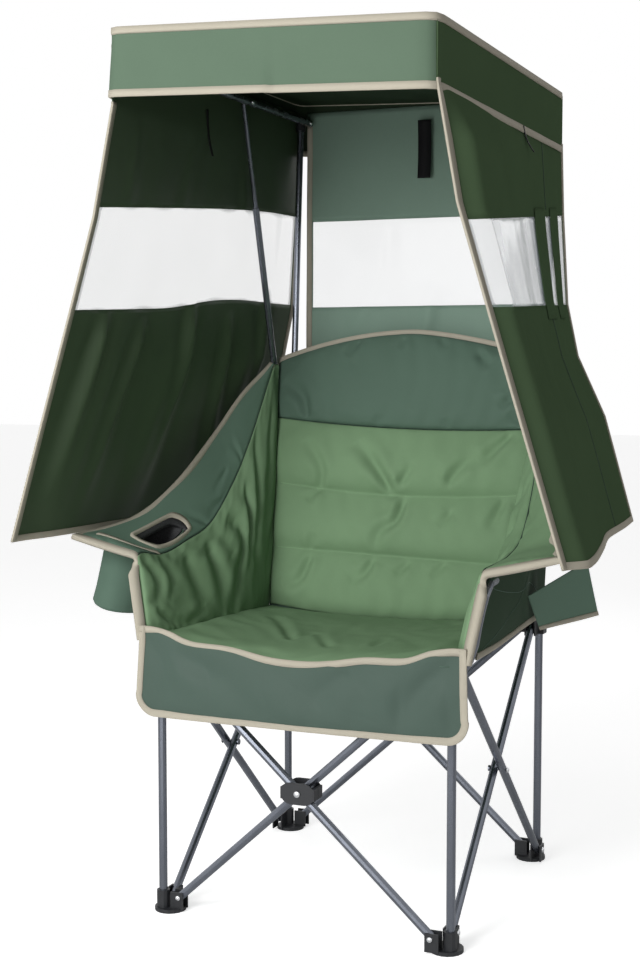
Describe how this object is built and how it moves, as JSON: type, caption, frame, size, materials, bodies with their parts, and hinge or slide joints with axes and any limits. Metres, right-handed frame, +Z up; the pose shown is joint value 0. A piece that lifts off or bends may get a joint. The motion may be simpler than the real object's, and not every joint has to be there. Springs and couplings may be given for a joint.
{
  "type": "umbrella chair",
  "caption": "Folding camp chair with padded bucket seat, cup pocket, scissor frame and a tilting square canopy with curtains and clear windows.",
  "frame": {"origin": "on the floor under the middle of the outer box", "axes": "+Z up, the chair faces -Y, and +X is to the right of a viewer who faces the chair"},
  "size_m": [1.0378, 0.831, 1.594],
  "materials": {
    "tube": "dark grey powder coat, slightly metallic",
    "plastic": "black moulded plastic",
    "cushion": "padded green polyester",
    "panel": "dark green coated polyester",
    "skirt": "green coated polyester",
    "roof": "green coated polyester",
    "curtain": "dark green coated polyester",
    "window": "clear flexible film"
  },
  "bodies": {
    "front_left_leg": {"front_left_foot": "plastic", "left_front_post": "tube", "seat_pad": "cushion", "seat_sling": "panel", "front_skirt": "skirt", "left_side_pad": "cushion", "left_wing": "panel", "left_outer_panel": "panel", "cup_pocket": "panel"},
    "front_right_leg": {"front_right_foot": "plastic", "right_front_post": "tube", "right_side_pad": "cushion", "right_wing": "panel", "right_outer_panel": "panel", "side_flap": "panel"},
    "rear_left_leg": {"rear_left_foot": "plastic", "left_rear_post": "tube", "left_canopy_pole": "tube", "left_strut_clamp": "plastic", "left_pole_cap": "plastic", "back_cloth": "panel", "back_pad": "cushion", "headrest_pad": "panel", "back_curtain": "curtain", "back_window": "window", "left_curtain": "curtain", "left_window": "window"},
    "rear_right_leg": {"rear_right_foot": "plastic", "right_rear_post": "tube", "right_canopy_pole": "tube", "right_strut_clamp": "plastic", "right_pole_cap": "plastic", "right_curtain": "curtain", "right_window": "window"},
    "front_tube_rising_right_body": {"front_tube_rising_right": "tube"},
    "front_tube_rising_left_body": {"front_tube_rising_left": "tube"},
    "rear_tube_rising_right_body": {"rear_tube_rising_right": "tube"},
    "rear_tube_rising_left_body": {"rear_tube_rising_left": "tube"},
    "left_tube_rising_back_body": {"left_tube_rising_back": "tube", "left_crossing_rivet": "tube"},
    "left_tube_rising_front_body": {"left_tube_rising_front": "tube"},
    "right_tube_rising_back_body": {"right_tube_rising_back": "tube", "right_crossing_rivet": "tube"},
    "right_tube_rising_front_body": {"right_tube_rising_front": "tube"},
    "front_left_bracket": {"front_left_slider": "plastic"},
    "front_right_bracket": {"front_right_slider": "plastic"},
    "rear_left_bracket": {"rear_left_slider": "plastic"},
    "rear_right_bracket": {"rear_right_slider": "plastic"},
    "front_hub_outer_half_body": {"front_hub_outer_half": "plastic"},
    "front_hub_inner_half_body": {"front_hub_inner_half": "plastic"},
    "rear_hub_outer_half_body": {"rear_hub_outer_half": "plastic"},
    "rear_hub_inner_half_body": {"rear_hub_inner_half": "plastic"},
    "left_bar": {"left_roof_bar": "tube", "roof_cap": "roof"},
    "right_bar": {"right_roof_bar": "tube"},
    "left_strut_tube": {"left_lower_strut": "tube"},
    "left_strut_rod": {"left_upper_strut": "tube"},
    "right_strut_tube": {"right_lower_strut": "tube"},
    "right_strut_rod": {"right_upper_strut": "tube"}
  },
  "joints": [
    {"name": "frame_fold", "type": "hinge", "parent": "front_left_leg", "child": "front_tube_rising_right_body", "pos_m": [-0.253, -0.259, 0.027], "axis": [0, -1, 0], "range_deg": [0, 38.31], "deforming": ["seat_pad", "seat_sling", "front_skirt", "left_side_pad", "left_wing", "left_outer_panel", "cup_pocket", "right_side_pad", "right_wing", "right_outer_panel", "side_flap", "back_cloth", "back_pad", "headrest_pad", "back_curtain", "back_window", "left_curtain", "left_window", "right_curtain", "right_window", "roof_cap"]},
    {"name": "front_right_bracket_turn", "type": "hinge", "parent": "front_tube_rising_right_body", "child": "front_right_bracket", "pos_m": [0.253, -0.259, 0.49], "axis": [0, 1, 0], "range_deg": [0, 38.32]},
    {"name": "front_right_post_slide", "type": "slide", "parent": "front_right_bracket", "child": "front_right_leg", "axis": [0, 0, -1], "range_m": [0, 0.21399]},
    {"name": "front_tube_rising_left_turn", "type": "hinge", "parent": "front_right_leg", "child": "front_tube_rising_left_body", "pos_m": [0.253, -0.276, 0.027], "axis": [0, 1, 0], "range_deg": [0, 38.32]},
    {"name": "front_left_bracket_turn", "type": "hinge", "parent": "front_tube_rising_left_body", "child": "front_left_bracket", "pos_m": [-0.253, -0.276, 0.49], "axis": [0, -1, 0], "range_deg": [0, 38.32]},
    {"name": "left_tube_rising_back_turn", "type": "hinge", "parent": "front_left_leg", "child": "left_tube_rising_back_body", "pos_m": [-0.2765, -0.2355, 0.027], "axis": [1, 0, 0], "range_deg": [0, 35.23]},
    {"name": "rear_left_bracket_turn", "type": "hinge", "parent": "left_tube_rising_back_body", "child": "rear_left_bracket", "pos_m": [-0.2765, 0.2825, 0.49], "axis": [-1, 0, 0], "range_deg": [0, 35.23]},
    {"name": "rear_left_post_slide", "type": "slide", "parent": "rear_left_bracket", "child": "rear_left_leg", "axis": [0, 0, -1], "range_m": [0, 0.21399]},
    {"name": "left_tube_rising_front_turn", "type": "hinge", "parent": "rear_left_leg", "child": "left_tube_rising_front_body", "pos_m": [-0.2935, 0.2825, 0.027], "axis": [-1, 0, 0], "range_deg": [0, 35.23]},
    {"name": "right_tube_rising_back_turn", "type": "hinge", "parent": "front_right_leg", "child": "right_tube_rising_back_body", "pos_m": [0.2765, -0.2355, 0.027], "axis": [1, 0, 0], "range_deg": [0, 35.23]},
    {"name": "rear_right_bracket_turn", "type": "hinge", "parent": "right_tube_rising_back_body", "child": "rear_right_bracket", "pos_m": [0.2765, 0.2825, 0.49], "axis": [-1, 0, 0], "range_deg": [0, 35.23]},
    {"name": "rear_right_post_slide", "type": "slide", "parent": "rear_right_bracket", "child": "rear_right_leg", "axis": [0, 0, -1], "range_m": [0, 0.21399]},
    {"name": "right_tube_rising_front_turn", "type": "hinge", "parent": "rear_right_leg", "child": "right_tube_rising_front_body", "pos_m": [0.2935, 0.2825, 0.027], "axis": [-1, 0, 0], "range_deg": [0, 35.23]},
    {"name": "rear_tube_rising_right_turn", "type": "hinge", "parent": "rear_left_leg", "child": "rear_tube_rising_right_body", "pos_m": [-0.253, 0.323, 0.027], "axis": [0, -1, 0], "range_deg": [0, 38.32]},
    {"name": "rear_tube_rising_left_turn", "type": "hinge", "parent": "rear_right_leg", "child": "rear_tube_rising_left_body", "pos_m": [0.253, 0.306, 0.027], "axis": [0, 1, 0], "range_deg": [0, 38.32]},
    {"name": "front_hub_outer_turn", "type": "hinge", "parent": "front_tube_rising_left_body", "child": "front_hub_outer_half_body", "pos_m": [0, -0.276, 0.2585], "axis": [0, -1, 0], "range_deg": [0, 38.32]},
    {"name": "front_hub_inner_turn", "type": "hinge", "parent": "front_tube_rising_right_body", "child": "front_hub_inner_half_body", "pos_m": [0, -0.259, 0.2585], "axis": [0, 1, 0], "range_deg": [0, 38.32]},
    {"name": "rear_hub_outer_turn", "type": "hinge", "parent": "rear_tube_rising_right_body", "child": "rear_hub_outer_half_body", "pos_m": [0, 0.323, 0.2585], "axis": [0, 1, 0], "range_deg": [0, 38.32]},
    {"name": "rear_hub_inner_turn", "type": "hinge", "parent": "rear_tube_rising_left_body", "child": "rear_hub_inner_half_body", "pos_m": [0, 0.306, 0.2585], "axis": [0, -1, 0], "range_deg": [0, 38.32]},
    {"name": "canopy_tilt", "type": "hinge", "parent": "rear_left_leg", "child": "left_bar", "pos_m": [-0.2673, 0.3887, 1.56], "axis": [1, 0, 0], "range_deg": [0, 22], "deforming": ["left_curtain", "left_window", "right_curtain", "right_window", "back_curtain", "back_window"]},
    {"name": "right_bar_turn", "type": "hinge", "parent": "rear_right_leg", "child": "right_bar", "pos_m": [0.2673, 0.3887, 1.56], "axis": [1, 0, 0], "range_deg": [0, 22]},
    {"name": "left_strut_swing", "type": "hinge", "parent": "rear_left_leg", "child": "left_strut_tube", "pos_m": [-0.32, 0.34537, 0.941], "axis": [1, 0, 0], "range_deg": [0, 2.47]},
    {"name": "left_strut_slide", "type": "slide", "parent": "left_strut_tube", "child": "left_strut_rod", "axis": [-0.0603, 0.3887, -0.9194], "range_m": [0, 0.11359]},
    {"name": "right_strut_swing", "type": "hinge", "parent": "rear_right_leg", "child": "right_strut_tube", "pos_m": [0.32, 0.34537, 0.941], "axis": [1, 0, 0], "range_deg": [0, 2.47]},
    {"name": "right_strut_slide", "type": "slide", "parent": "right_strut_tube", "child": "right_strut_rod", "axis": [0.0603, 0.3887, -0.9194], "range_m": [0, 0.11359]}
  ],
  "couplings": [
    {"joint": "front_right_bracket_turn", "follows": "frame_fold", "ratio": 1},
    {"joint": "front_right_post_slide", "follows": "frame_fold", "m_per_rad": 0.32001},
    {"joint": "front_tube_rising_left_turn", "follows": "frame_fold", "ratio": 1},
    {"joint": "front_left_bracket_turn", "follows": "frame_fold", "ratio": 1},
    {"joint": "left_tube_rising_back_turn", "follows": "frame_fold", "ratio": 0.91928},
    {"joint": "rear_left_bracket_turn", "follows": "frame_fold", "ratio": 0.91928},
    {"joint": "rear_left_post_slide", "follows": "frame_fold", "m_per_rad": 0.32001},
    {"joint": "left_tube_rising_front_turn", "follows": "frame_fold", "ratio": 0.91928},
    {"joint": "right_tube_rising_back_turn", "follows": "frame_fold", "ratio": 0.91928},
    {"joint": "rear_right_bracket_turn", "follows": "frame_fold", "ratio": 0.91928},
    {"joint": "rear_right_post_slide", "follows": "frame_fold", "m_per_rad": 0.32001},
    {"joint": "right_tube_rising_front_turn", "follows": "frame_fold", "ratio": 0.91928},
    {"joint": "rear_tube_rising_right_turn", "follows": "frame_fold", "ratio": 1},
    {"joint": "rear_tube_rising_left_turn", "follows": "frame_fold", "ratio": 1},
    {"joint": "front_hub_outer_turn", "follows": "frame_fold", "ratio": 1},
    {"joint": "front_hub_inner_turn", "follows": "frame_fold", "ratio": 1},
    {"joint": "rear_hub_outer_turn", "follows": "frame_fold", "ratio": 1},
    {"joint": "rear_hub_inner_turn", "follows": "frame_fold", "ratio": 1},
    {"joint": "right_bar_turn", "follows": "canopy_tilt", "ratio": 1},
    {"joint": "left_strut_swing", "follows": "canopy_tilt", "ratio": 0.11206},
    {"joint": "left_strut_slide", "follows": "canopy_tilt", "m_per_rad": 0.29579},
    {"joint": "right_strut_swing", "follows": "canopy_tilt", "ratio": 0.11206},
    {"joint": "right_strut_slide", "follows": "canopy_tilt", "m_per_rad": 0.29579}
  ]
}
